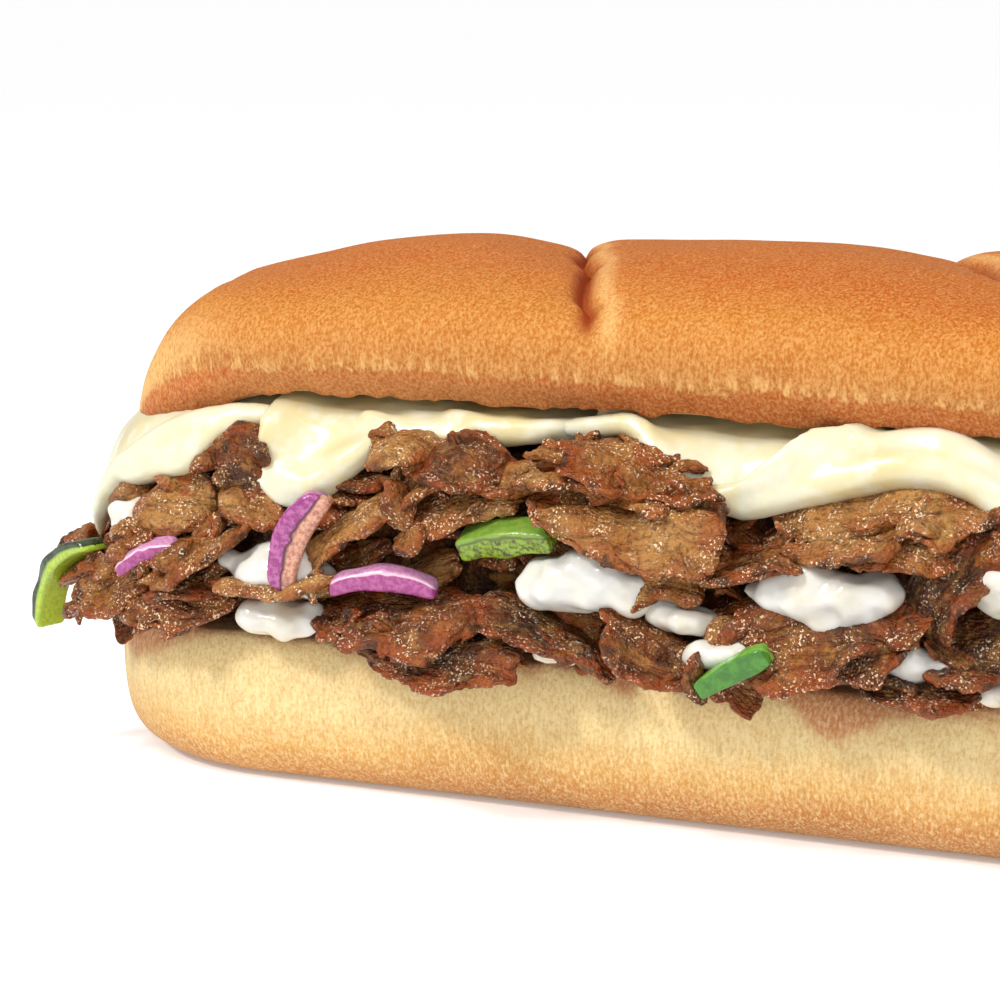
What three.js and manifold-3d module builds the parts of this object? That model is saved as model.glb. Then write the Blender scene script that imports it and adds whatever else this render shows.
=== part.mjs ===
// A submarine sandwich of shaved steak: a long soft roll with three slanting creases, cut in two halves,
// with a heap of steak slices, melted cheese, white sauce, red onion and green pepper between them.
// Millimetres, +Z up. The roll lies along X, its shown side faces -Y, and the origin is at the centre of the
// flat face that it rests on.

import * as THREE from "three";
import { mergeVertices } from "three/addons/utils/BufferGeometryUtils.js";
import Module from "manifold-3d";

const wasm = await Module();
wasm.setup();

// The roll
const heelLength = 305; // a twelve inch roll
const crownLength = 297; // the upper half stops a little short at each end
const rollWidth = 75;
const crownRise = 24; // from the cut edge of the upper half to its ridge
const heelHeight = 26;
const crownFoot = 68; // height of the upper half's cut edge above the table
const creaseGap = 66; // the creases are this far apart, with one in the middle
const creaseDepth = 5;
const creaseWidth = 2.8;
const creaseSlants = [-0.26, -0.7, -0.45]; // run along X for each millimetre towards the back, left to right
const tipDroop = 10; // the ends of the upper half sag over the filling

// The filling
const fillMiddle = 45.8; // height of its widest line
const fillHalfWidth = 37;
const fillHalfHeight = 18.6;
const fillLength = 300;
const sliceThickness = 3;
const cheeseThickness = 2.4;
const cheeseLift = 0.5; // the cheese lies this far off the steak's mean surface
const gap = 0.35; // between pieces that touch

// A repeatable draw between 0 and 1 for a whole number
function draw(number) {
  const value = Math.sin(number * 12.9898 + 78.233) * 43758.5453;
  return value - Math.floor(value);
}

function smooth(low, high, value) {
  const t = Math.min(1, Math.max(0, (value - low) / (high - low)));
  return t * t * (3 - 2 * t);
}

// 1 along the middle, falling on a rounded curve to almost 0 at each end
function endRound(x, length, run, power = 2.4) {
  const into = Math.max(0, (Math.abs(x) - (length / 2 - run)) / run);
  return Math.max(0.05, (1 - Math.min(1, into) ** power) ** (1 / power));
}

// Moves each vertex of a geometry by a function, and welds the result to one closed mesh
function shaped(geometry, move) {
  const bare = geometry.clone();
  bare.deleteAttribute("normal");
  bare.deleteAttribute("uv");
  const position = bare.getAttribute("position");
  const point = new THREE.Vector3();
  for (let i = 0; i < position.count; i += 1) {
    point.fromBufferAttribute(position, i);
    move(point);
    position.setXYZ(i, point.x, point.y, point.z);
  }
  return mergeVertices(bare, 1e-4);
}

// The same closed mesh with its faces moved out by the gap, and so every vertex by the mean of its faces
function grown(geometry) {
  const larger = geometry.clone();
  const position = larger.getAttribute("position");
  const corners = larger.index.array;
  const pushes = Array.from({ length: position.count }, () => new THREE.Vector3());
  const shares = new Array(position.count).fill(0);
  const face = new THREE.Triangle();
  const outward = new THREE.Vector3();
  for (let i = 0; i < corners.length; i += 3) {
    face.setFromAttributeAndIndices(position, corners[i], corners[i + 1], corners[i + 2]);
    face.getNormal(outward);
    for (let k = 0; k < 3; k += 1) {
      pushes[corners[i + k]].add(outward);
      shares[corners[i + k]] += 1;
    }
  }
  pushes.forEach((push, i) => {
    push.divideScalar(shares[i]);
    push.multiplyScalar(gap / Math.max(0.15, push.lengthSq()));
    push.add(outward.fromBufferAttribute(position, i));
    position.setXYZ(i, push.x, push.y, push.z);
  });
  return larger;
}

function toSolid(geometry) {
  return new wasm.Manifold(
    new wasm.Mesh({
      numProp: 3,
      vertProperties: new Float32Array(geometry.getAttribute("position").array),
      triVerts: new Uint32Array(geometry.index.array),
    }),
  );
}

function fromSolid(solid) {
  const mesh = solid.getMesh();
  const geometry = new THREE.BufferGeometry();
  geometry.setAttribute("position", new THREE.BufferAttribute(mesh.vertProperties, 3));
  geometry.setIndex(new THREE.BufferAttribute(mesh.triVerts, 1));
  geometry.computeVertexNormals();
  return geometry;
}

// The largest body of a solid, so that no scrap is left beside it
function largest(solid) {
  const bodies = solid.decompose();
  bodies.sort((a, b) => b.volume() - a.volume());
  return bodies[0];
}

// A unit section in (Y, Z), stretched along X as a straight bar with many steps
function bar(section, steps, points) {
  const shape = new THREE.Shape(section.getSpacedPoints(points).slice(0, points));
  return new THREE.ExtrudeGeometry(shape, { depth: 2, steps, bevelEnabled: false });
}

// Bread. The stations along the roll crowd together at its ends and, where asked, at the creases.
function station(along, length, crowding = 0) {
  const share = along - 1;
  const x = (length / 2) * (1.25 * share - 0.25 * share ** 3);
  return x - crowding * Math.sin((2 * Math.PI * x) / creaseGap) * (1 - share ** 6);
}

function creaseAt(x) {
  let depth = 0;
  for (const place of [-creaseGap, 0, creaseGap]) {
    depth += Math.exp(-(((x - place) / creaseWidth) ** 2));
    depth += 0.22 * Math.exp(-(((x - place) / (3.2 * creaseWidth)) ** 2));
  }
  return depth;
}

function slantAt(x) {
  const nearest = Math.round(Math.min(1, Math.max(-1, x / creaseGap)));
  const here = creaseSlants[nearest + 1];
  const side = Math.sign(x - nearest * creaseGap);
  const next = creaseSlants[nearest + 1 + side] ?? 0;
  const share = Math.abs(x - nearest * creaseGap) / creaseGap;
  return THREE.MathUtils.lerp(here, next, Math.min(1, share));
}

const crownSection = new THREE.Path()
  .moveTo(-0.94, 0)
  .bezierCurveTo(-1.0, 0.14, -1.03, 0.36, -0.97, 0.56)
  .bezierCurveTo(-0.88, 0.83, -0.45, 1.0, 0, 1.0)
  .bezierCurveTo(0.45, 1.0, 0.88, 0.83, 0.97, 0.56)
  .bezierCurveTo(1.03, 0.36, 1.0, 0.14, 0.94, 0)
  .lineTo(-0.94, 0);

function crownGeometry() {
  return shaped(bar(crownSection, 44, 18), (p) => {
    const x = station(p.z, crownLength, 6.3);
    const wide = (rollWidth / 2) * endRound(x, crownLength, 40);
    const high = crownRise * endRound(x, crownLength, 74, 2.3);
    const fade = smooth(0.25, 0.8, p.y);
    const sink = 1 - (creaseDepth * creaseAt(x) * fade) / crownRise;
    const y = p.x * wide * (1 - (1 - sink) * 0.35);
    const droop = tipDroop * smooth(crownLength / 2 - 38, crownLength / 2, Math.abs(x));
    const ragged = p.y < 0.01 ? 0.5 * Math.sin(x * 0.9) : 0;
    p.set(x + slantAt(x) * y * endRound(x, crownLength, 60), y, p.y * high * sink - droop + ragged);
  });
}

const heelSection = new THREE.Path()
  .moveTo(-0.74, 0)
  .lineTo(0.74, 0)
  .bezierCurveTo(0.9, 0.02, 0.98, 0.24, 1.0, 0.5)
  .bezierCurveTo(1.01, 0.72, 0.98, 0.88, 0.93, 1.0)
  .lineTo(-0.93, 1.0)
  .bezierCurveTo(-0.98, 0.88, -1.01, 0.72, -1.0, 0.5)
  .bezierCurveTo(-0.98, 0.24, -0.9, 0.02, -0.74, 0);

function heelGeometry() {
  return shaped(bar(heelSection, 24, 14), (p) => {
    const x = station(p.z, heelLength);
    const round = endRound(x, heelLength, 38);
    const lift = (1 - round) * 8 * (1 - p.y); // the base turns up at each end
    const wide = (rollWidth / 2) * (1 - 0.12 * (1 - round) * (1 - p.y)) * round;
    p.set(x, p.x * wide, lift + p.y * (heelHeight - lift));
  });
}

// The steak's mean surface: a rounded bar. The angle runs from the front (0) over the top (90) to the back.
function fillPoint(x, degrees, off) {
  const angle = (degrees * Math.PI) / 180;
  const length = fillLength + 2 * off;
  const round = endRound(x, length, 46, 2.4);
  const roundPart = (value) => Math.sign(value) * Math.abs(value) ** (2 / 3);
  return new THREE.Vector3(
    x,
    -roundPart(Math.cos(angle)) * (fillHalfWidth + off) * round,
    fillMiddle + roundPart(Math.sin(angle)) * (fillHalfHeight + off) * round ** 0.7,
  );
}

// The angle at which the cheese's line at x comes down to a height
function angleAtHeight(x, z) {
  const reach = fillPoint(x, 90, cheeseThickness).z - fillMiddle;
  const part = Math.min(1, Math.max(-1, (z - fillMiddle) / reach));
  return (Math.asin(Math.sign(part) * Math.abs(part) ** 1.5) * 180) / Math.PI;
}

// The body of the heap, whose lower half stays wide up to the ends
function steakCore() {
  const round = new THREE.Path().absarc(0, 0, 1, 0, 2 * Math.PI);
  return shaped(bar(round, 16, 12), (p) => {
    const x = ((p.z - 1) * fillLength) / 2;
    const degrees = (Math.atan2(p.y, -p.x) * 180) / Math.PI;
    const inside = fillPoint(x, degrees, -1.8 * smooth(0.3, 0.7, p.y));
    if (p.y < 0.05) {
      inside.y = Math.sign(p.x) * Math.abs(p.x) ** 0.3 * fillHalfWidth * endRound(x, fillLength, 24, 3);
      inside.z = fillMiddle - Math.max(0, -p.y) ** 0.6 * (fillMiddle - heelHeight - gap);
    }
    p.copy(inside);
  });
}

// Slices of steak at the shown side, in millimetres and degrees:
// [x, y, z, length, width, facing, tilt, bend]. Facing 0 lies flat and 90 faces the front.
const shownSlices = [
  [-115, -36.5, 56, 10, 11, 72, 0, 0],
  [-125, -38.5, 48.5, 17, 12, 60, 3, 1],
  [-131, -42, 42, 11, 8, 15, 4, 1],
  [-118, -43, 43, 17, 9, 25, 24, -1],
  [-123, -45, 38.5, 11, 7, 30, 30, 0],
  [-138, -39, 34, 16, 11, 45, 22, 1],
  [-145, -26, 36, 16, 18, 15, 12, 1],
  [-141, -36, 29, 18, 9, 20, 24, -1],
  [-123, -41, 35, 15, 9, 15, 14, 1],
  [-125, -40, 31.5, 22, 10, 22, 8, 1],
  [-103, -43, 36.5, 23, 9, 3, 6, -1],
  [-152, -16, 37, 20, 14, 10, 20, 0],
  [-83, -40, 60.5, 12, 10, 25, -3, 1],
  [-72, -41, 59.5, 15, 11, 35, -15, 2],
  [-52, -41, 58, 36, 12, 12, -3, 2],
  [-89, -42, 50, 32, 11, 28, 38, 2],
  [-71, -40.5, 54, 20, 10, 40, 10, 2],
  [-83, -43, 34, 28, 13, 40, 5, 2],
  [-77, -43, 28.5, 30, 14, 35, -3, -2],
  [-59, -41, 34.5, 24, 17, 10, -20, 2],
  [-49, -39, 62.5, 20, 10, 15, 5, 1],
  [-43, -42, 59.5, 27, 11, 15, -8, -1],
  [-42, -44, 52, 30, 16, 52, 8, -2],
  [-26, -43, 47.5, 23, 10, 15, 5, 1],
  [-5, -40.5, 56.5, 34, 18, 28, 8, 2],
  [-4, -42, 51.5, 24, 12, 28, 3, 2],
  [6, -43, 46, 18, 16, 60, 60, 2],
  [-12, -44, 37, 29, 16, 42, 10, -2],
  [-37, -41.5, 32.5, 22, 17, 18, -22, -2],
  [3, -39.5, 29, 18, 18, 0, 0, 1],
  [12, -42, 37, 17, 15, 50, 0, 2],
  [14, -41, 54, 14, 14, 45, 20, 1],
];

// One slice: an uneven wavy slab, both faces split alike
function sliceGeometry(row, number) {
  const [x, y, z, length, width, facing, tilt, bend, turn = 0] = row;
  const steps = Math.min(4, Math.max(2, Math.round(length / 11)));
  const slab = shaped(new THREE.BoxGeometry(2, 2, 1, steps, 1, 1), (p) => {
    const rim = 1 + 0.28 * (draw(number * 7 + Math.round(p.x * 2) * 3 + Math.round(p.y)) - 0.5);
    const u = p.x * rim;
    const v = p.y * (1 - 0.5 * p.x * p.x) * rim;
    const wave = 0.8 * Math.sin(u * 2.6 + number) + 0.5 * Math.sin(v * 3 + number * 2);
    p.set((u * length) / 2, (v * width) / 2, p.z * sliceThickness + wave - bend * u * u);
  });
  const place = new THREE.Object3D();
  place.rotation.set(
    THREE.MathUtils.degToRad(facing),
    THREE.MathUtils.degToRad(-tilt),
    THREE.MathUtils.degToRad(turn),
    "ZYX",
  );
  place.position.set(x, y, z);
  place.updateMatrix();
  return slab.applyMatrix4(place.matrix);
}

// The rest of the heap follows a rule: slices in tiers along the far half, along the back and round the ends
const tiers = [30.5, 38.5, 46.5, 54];

function ruledSlices() {
  const rows = [];
  const add = (x, side, tier, number) => {
    const jitter = (n) => draw(number * 11 + n) - 0.5;
    const z = tiers[tier] + 2 * jitter(1);
    const y = side * (40 - Math.abs(tier - 1.5) + 2 * jitter(2));
    const length = 32 + 8 * jitter(3);
    const width = 15 + 3 * jitter(6);
    const facing = 30 + 30 * jitter(4);
    rows.push([x + 6 * jitter(5), y, z, length, width, facing, 30 * jitter(7), 3, 90 + 90 * side]);
  };
  for (let tier = 0; tier < tiers.length; tier += 1) {
    for (let place = 0; place < 3; place += 1) {
      add(43 + place * 35 + (tier % 2) * 9, -1, tier, 20 + tier * 3 + place);
      add(-112 + place * 88 + tier * 21, 1, tier, 50 + tier * 3 + place);
    }
  }
  for (let number = 0; number < 5; number += 1) {
    const end = number < 4 ? 1 : -1;
    const jitter = (n) => draw(number * 7 + n) - 0.5;
    const x = end * (148 - 2 * Math.abs((number % 4) - 1.5));
    const y = 8 - 8 * end + 26 * jitter(1);
    rows.push([x, y, 33 + 7 * (number % 4), 22, 18, 20 * jitter(2), 12 * jitter(3), 1, 60 * jitter(4)]);
  }
  return rows;
}

function steakHeap() {
  const slices = [...shownSlices, ...ruledSlices()].map((row, i) => toSolid(sliceGeometry(row, i + 1)));
  return wasm.Manifold.union([toSolid(steakCore()), ...slices]);
}

// Melted cheese: each sheet lies over the steak, and hangs to the heights that its pairs [x, z] give on the
// shown side and on the back. The fourth starts on top of the third as a lip, thicker by that much. Its far
// edge is given as pairs [x, angle].
const cheeseSheets = [
  {
    name: "cheese_1",
    front: [[-149, 41], [-144, 44], [-138, 50], [-134, 54], [-128, 54], [-121, 57.5], [-112, 61]],
    back: [[-149, 46], [-140, 50], [-128, 56], [-112, 60]],
  },
  {
    name: "cheese_2",
    front: [[-111.5, 57], [-108, 53], [-103, 50], [-97, 54], [-89, 60], [-75, 62], [-63, 62], [-54, 64]],
    back: [[-111.5, 60], [-90, 50], [-75, 55], [-54, 62]],
  },
  {
    name: "cheese_3",
    front: [[-53.5, 64.3], [-46, 64.3], [-40, 62], [-34, 57], [-25, 56], [-15, 58], [-6, 60]],
    back: [[-53.5, 62], [-30, 49], [-6, 61]],
  },
  {
    name: "cheese_4",
    front: [[-34, 55.5], [-26, 53.5], [-17, 56.5], [-8, 58], [8, 63], [15, 57.5], [24, 53], [46, 63]],
    far: [[-34, 23], [-25, 34], [-16, 48], [-8, 60], [-3, 90], [5, 150], [14, 168], [28, 172], [46, 150]],
    lip: 2.8,
  },
  {
    name: "cheese_5",
    front: [[46.5, 63], [56, 58], [66, 51], [75, 55], [86, 61], [97, 63]],
    back: [[46.5, 61], [60, 56], [80, 49], [97, 60]],
  },
  {
    name: "cheese_6",
    front: [[97.5, 63], [107, 57], [114, 52], [124, 56], [134, 52], [143, 47], [149, 43]],
    back: [[97.5, 60], [112, 54], [130, 57], [141, 50], [149, 45]],
  },
];

// The value at x of a smooth curve through pairs [x, value]
function valueAt(pairs, x) {
  const curve = new THREE.CatmullRomCurve3(pairs.map(([px, z]) => new THREE.Vector3(px, 0, z)));
  const [low, high] = [pairs[0][0], pairs[pairs.length - 1][0]];
  let [from, to] = [0, 1];
  if (x <= low) return pairs[0][1];
  if (x >= high) return pairs[pairs.length - 1][1];
  for (let step = 0; step < 24; step += 1) {
    const middle = (from + to) / 2;
    if (curve.getPoint(middle).x < x) from = middle;
    else to = middle;
  }
  return curve.getPoint(from).z;
}

function cheeseGeometry({ front, back, far, lip = 0 }) {
  const low = front[0][0];
  const high = front[front.length - 1][0];
  return shaped(new THREE.BoxGeometry(1, 1, 1, 8, 7, 1), (p) => {
    const x = THREE.MathUtils.lerp(low, high, p.x + 0.5);
    const start = angleAtHeight(x, valueAt(front, x));
    const finish = far ? valueAt(far, x) : 180 - angleAtHeight(x, valueAt(back, x));
    const across = p.y + 0.5 - 0.1 * Math.sin(2 * Math.PI * (p.y + 0.5)); // rows crowd near the hanging edges
    const degrees = THREE.MathUtils.lerp(start, finish, across);
    const bead = 0.9 * Math.max(0, 1 - 4 * Math.min(across, 1 - across));
    const thickness = cheeseThickness + bead + lip * (1 - smooth(40, 72, degrees));
    p.copy(fillPoint(x, degrees, cheeseLift + (p.z + 0.5) * thickness));
  });
}

// White sauce: dollops [x, y, z, half length, half depth, half height]
const dollops = [
  [-135.5, -36.5, 44.5, 4, 5.5, 4],
  [-105.5, -41.5, 39.7, 11, 5, 5],
  [-105.5, -41, 31.2, 10.5, 5, 4.6],
  [-52, -42.5, 42.2, 12.5, 5.5, 6],
  [-55, -41, 30.5, 6, 4.5, 2.6],
  [-34.5, -42, 37.7, 8.5, 4.5, 3.2],
  [-27.5, -41.5, 32.6, 5, 4.5, 3.4],
  [-12, -43, 43, 16, 5.5, 5.5],
  [1.5, -42, 33.8, 7, 5, 3.9],
  [15.5, -42, 47, 7, 5, 5],
  [17.5, -41.5, 30.7, 7, 4.5, 3],
  [48, -42.5, 39, 14, 5.5, 5],
  [86, -42.5, 33, 10, 5, 4.5],
  [116, -42, 44, 12, 5.5, 5],
  [-98, 42, 38, 13, 5.5, 5],
  [-36, 42.5, 44, 12, 5.5, 5.5],
  [24, 42, 34, 11, 5.5, 4.5],
  [92, 42.5, 40, 14, 5.5, 5],
];

function dollopGeometry([x, y, z, long, deep, high], number) {
  return shaped(new THREE.IcosahedronGeometry(1, 1), (p) => {
    const lump = 1 + 0.14 * Math.sin(4 * p.x + number) * Math.cos(3 * p.z + 2 * number);
    p.set(x + p.x * lump * long, y + p.y * lump * deep, z + p.z * lump * high);
  });
}

// Red onion: strips cut from a ring. [x, y, z, length, height, thickness, turns about X, Y and Z in degrees]
const onionStrips = [
  [-101, -44.5, 45.5, 18, 3.6, 4, 15, -68, 0],
  [-85, -44, 39.3, 17, 3.6, 4, 10, -2, 8],
  [-129, -43.5, 40.5, 12, 2.6, 4, 20, -24, 0],
  [40, -43.5, 50, 18, 3.4, 4, 10, -14, 5],
  [101, -43.5, 52, 17, 3.4, 4, 5, 20, -5],
  [-116, 44, 47, 18, 3.4, 4, 0, 12, 180],
  [4, 44, 52, 18, 3.4, 4, 0, -15, 176],
  [66, 44, 35, 16, 3.4, 4, 10, 20, 184],
];

const onionBow = 0.11; // height of a strip's arc for each millimetre of its length

// Green pepper: strips of wall, the skin outside. Same columns as the onion.
const pepperStrips = [
  [-151, -33, 33, 22, 3.2, 6, 0, -48, -24],
  [-66, -42.5, 47, 17, 6.5, 3.4, 0, -4, -8],
  [-25.5, -44.5, 30, 14.5, 5, 3.2, 0, -29, -6],
  [74, -44, 40, 18, 4.6, 3.2, 0, 24, 4],
  [128, -42, 34, 17, 4.6, 3.2, 5, -10, -4],
  [-66, 44, 34, 18, 4.8, 3.2, 0, 18, 178],
  [46, 44, 50, 17, 4.6, 3.2, 0, -8, 184],
  [120, 43.5, 51, 16, 4.6, 3.2, 5, 22, 180],
];

const pepperBow = [0.2, 0.03, 0.02, 0.1, 0.08, 0.1, 0.06, 0.1];

function stripGeometry([, , , length, height, thickness], bow) {
  return shaped(new THREE.BoxGeometry(2, 2, 2, 5, 1, 1), (p) => {
    const taper = 1 - 0.22 * p.x * p.x;
    const rise = bow * length * (0.5 - p.x * p.x);
    p.set((p.x * length) / 2, (p.y * thickness) / 2, rise + ((p.z * height) / 2) * taper);
  });
}

// Puts a mesh where a row says, and gives its solid there
function putDown(mesh, [x, y, z, , , , aboutX, aboutY, aboutZ]) {
  mesh.position.set(x, y, z);
  mesh.rotation.set(...[aboutX, aboutY, aboutZ].map(THREE.MathUtils.degToRad), "ZYX");
  return mesh;
}

function finish(color, roughness) {
  return new THREE.MeshStandardMaterial({ color, roughness, metalness: 0 });
}

const materials = {
  crown: finish(0xd18a45, 0.6),
  heel: finish(0xdfae66, 0.7),
  steak: finish(0x7a4a2c, 0.45),
  cheese: finish(0xf3ebc6, 0.3),
  sauce: finish(0xf7f2e6, 0.25),
  onion: finish(0xa0449a, 0.35),
  pepper: finish(0x4c8f2c, 0.35),
};

const sandwich = new THREE.Group();
const standing = []; // solids of all that is already in place, each grown by the gap

function addPiece(name, geometry, material) {
  const mesh = new THREE.Mesh(geometry, material);
  mesh.name = name;
  sandwich.add(mesh);
  return mesh;
}

// Keeps a piece's room clear of all that comes after it
function keepClear(geometry, mesh) {
  mesh.updateMatrix();
  for (const shape of [geometry.clone(), grown(geometry)]) {
    standing.push(toSolid(shape.applyMatrix4(mesh.matrix)));
  }
}

// Cuts a solid clear of what is in place, and keeps its largest body
function cutClear(solid) {
  return largest(solid.subtract(wasm.Manifold.union(standing)));
}

const heel = addPiece("bread_heel", heelGeometry(), materials.heel);
keepClear(heel.geometry, heel);
const crown = addPiece("bread_crown", crownGeometry(), materials.crown);
crown.position.z = crownFoot;
keepClear(crown.geometry, crown);

function addStrips(name, rows, bows, material) {
  rows.forEach((row, i) => {
    const strip = putDown(addPiece(`${name}_${i + 1}`, stripGeometry(row, bows(i)), material), row);
    keepClear(strip.geometry, strip);
  });
}

addStrips("onion", onionStrips, () => onionBow, materials.onion);
addStrips("pepper", pepperStrips, (i) => pepperBow[i], materials.pepper);

for (const sheet of cheeseSheets) {
  const whole = cheeseGeometry(sheet);
  keepClear(whole, addPiece(sheet.name, fromSolid(cutClear(toSolid(whole))), materials.cheese));
}

dollops.forEach((row, i) => {
  const whole = dollopGeometry(row, i);
  keepClear(whole, addPiece(`sauce_${i + 1}`, fromSolid(cutClear(toSolid(whole))), materials.sauce));
});

addPiece("shaved_steak", fromSolid(cutClear(steakHeap())), materials.steak);

export default sandwich;
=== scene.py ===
# A submarine sandwich of shaved steak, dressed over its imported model. The roll lies along X and its shown
# side faces -Y. Sizes are written in millimetres and become metres in each mesh.

import math

import bpy
import numpy as np
from mathutils import Euler, Matrix, Vector


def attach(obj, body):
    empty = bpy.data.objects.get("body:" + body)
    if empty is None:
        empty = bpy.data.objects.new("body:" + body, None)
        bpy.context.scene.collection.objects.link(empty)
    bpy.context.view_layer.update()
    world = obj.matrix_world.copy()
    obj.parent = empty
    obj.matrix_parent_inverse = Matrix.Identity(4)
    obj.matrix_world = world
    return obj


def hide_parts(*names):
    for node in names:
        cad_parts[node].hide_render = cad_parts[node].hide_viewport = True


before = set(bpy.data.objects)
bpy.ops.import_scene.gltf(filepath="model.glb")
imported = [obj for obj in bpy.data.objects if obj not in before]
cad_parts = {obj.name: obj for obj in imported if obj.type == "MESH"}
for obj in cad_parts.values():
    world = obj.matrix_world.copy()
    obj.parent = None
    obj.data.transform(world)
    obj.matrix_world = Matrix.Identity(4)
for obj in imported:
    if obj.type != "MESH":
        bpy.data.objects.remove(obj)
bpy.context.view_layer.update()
bpy.ops.object.select_all(action="DESELECT")

# Lower half of the roll
# A long soft white roll, baked pale gold at its side and browner at its foot, cut flat along its top face.
# One closed skin: a grid is wrapped round the roll's section and drawn in at both ends.
MM = 0.001
HEEL_LENGTH = 305
HEEL_HEIGHT = 26
HEEL_END = 38
HEEL_COLUMNS, HEEL_ROWS = 360, 130
ROLL_WIDTH = 75
ROLL_END_POWER = 2.1
SEAM_GAP = 0.02
SCATTER = 43758.5453
SCATTER_WEIGHTS = (127.1, 311.7, 74.7, 53.3)
# Each juice stain, which is also painted shade under the filling, is its place, its half width and its depth.
JUICE_STAINS_AND_SHADE = (
    (-141, 14, 0.3),
    (-80, 20, 0.1),
    (-47, 4, 0.14),
    (-11, 9, 0.28),
    (20, 14, 0.1),
    (60, 12, 0.2),
    (112, 20, 0.22),
)
HEEL_SECTION = [
    [(-0.74, 0), (-0.25, 0), (0.25, 0), (0.74, 0)],
    [(0.74, 0), (0.9, 0.02), (0.98, 0.24), (1.0, 0.5)],
    [(1.0, 0.5), (1.01, 0.72), (0.99, 0.9), (0.93, 1.0)],
    [(0.93, 1.0), (0.3, 1.0), (-0.3, 1.0), (-0.93, 1.0)],
    [(-0.93, 1.0), (-0.99, 0.9), (-1.01, 0.72), (-1.0, 0.5)],
    [(-1.0, 0.5), (-0.98, 0.24), (-0.9, 0.02), (-0.74, 0)],
]


def smooth(low, high, value):
    t = np.clip((value - low) / (high - low), 0, 1)
    return t * t * (3 - 2 * t)


def end_round(x, length, run, power=2.4):
    """1 along the middle of the roll, falling on a rounded curve to nothing at each end."""
    into = np.clip((np.abs(x) - (length / 2 - run)) / run, 0, 1)
    return (1 - into**power) ** (1 / power)


def chance(*parts):
    """A repeatable draw between 0 and 1 for each set of whole numbers."""
    total = sum(np.asarray(part, float) * weight for part, weight in zip(parts, SCATTER_WEIGHTS))
    value = np.sin(total) * SCATTER
    return value - np.floor(value)


def lumps(points, size, seed=0):
    """Soft random lumps of a size in millimetres, between -1 and 1, for points as rows of x, y, z."""
    spot = np.asarray(points, float) / size
    corner = np.floor(spot)
    share = spot - corner
    share = share * share * (3 - 2 * share)
    total = 0.0
    for step in np.ndindex(2, 2, 2):
        weight = np.prod(np.abs(1 - np.array(step) - share), axis=1)
        total = total + weight * chance(*(corner + step).T, seed)
    return 2 * total - 1


def points(*columns):
    return np.stack(columns, axis=1)


def section_points(curves, count):
    """Evenly spaced points round a closed section made of Bezier curves."""
    t = np.linspace(0, 1, 60, endpoint=False)[:, None]
    run = []
    for a, b, c, d in np.array(curves, float):
        run.append(a * (1 - t) ** 3 + 3 * b * t * (1 - t) ** 2 + 3 * c * t * t * (1 - t) + d * t**3)
    run = np.concatenate(run + [run[0][:1]])
    walked = np.concatenate([[0], np.cumsum(np.linalg.norm(np.diff(run, axis=0), axis=1))])
    marks = np.linspace(0, walked[-1], count)
    return points(*(np.interp(marks, walked, run[:, k]) for k in (0, 1)))


def points_of(piece):
    flat = np.empty(len(piece.data.vertices) * 3)
    piece.data.vertices.foreach_get("co", flat)
    return flat.reshape(-1, 3)


def grid(name, columns, rows, place, marks=None):
    """A grid whose points are put where a function of (u, v), both from -1 to 1, says in millimetres. Each
    of its marks is a number for each point, which the material reads."""
    bpy.ops.mesh.primitive_grid_add(x_subdivisions=columns, y_subdivisions=rows, size=2)
    piece = bpy.context.object
    piece.name = name
    u, v, _ = points_of(piece).T
    piece.data.vertices.foreach_set("co", (place(u, v) * MM).ravel())
    piece.data.update()
    for mark, values in (marks or {}).items():
        layer = piece.data.attributes.new(mark, "FLOAT", "POINT")
        layer.data.foreach_set("value", np.asarray(values, float))
    return piece


def close_skin(piece):
    """Merges the doubles along a seam or pole, turns the faces outwards and shades them smooth."""
    bpy.ops.object.mode_set(mode="EDIT")
    bpy.ops.mesh.select_all(action="SELECT")
    bpy.ops.mesh.remove_doubles(threshold=SEAM_GAP * MM)
    bpy.ops.mesh.normals_make_consistent(inside=False)
    bpy.ops.object.mode_set(mode="OBJECT")
    bpy.ops.object.shade_smooth()
    piece.select_set(False)


def station(along, length, crowding=0.0, crease_gap=1.0):
    """A place along the roll, from -1 to 1, in millimetres: closer steps at the ends and the creases."""
    x = (length / 2) * np.sin(along * math.pi / 2) * 0.35 + (length / 2) * along * 0.65
    return x - crowding * np.sin(2 * math.pi * x / crease_gap) * (1 - along**6)


heel_ring = section_points(HEEL_SECTION, HEEL_ROWS + 1)


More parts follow.
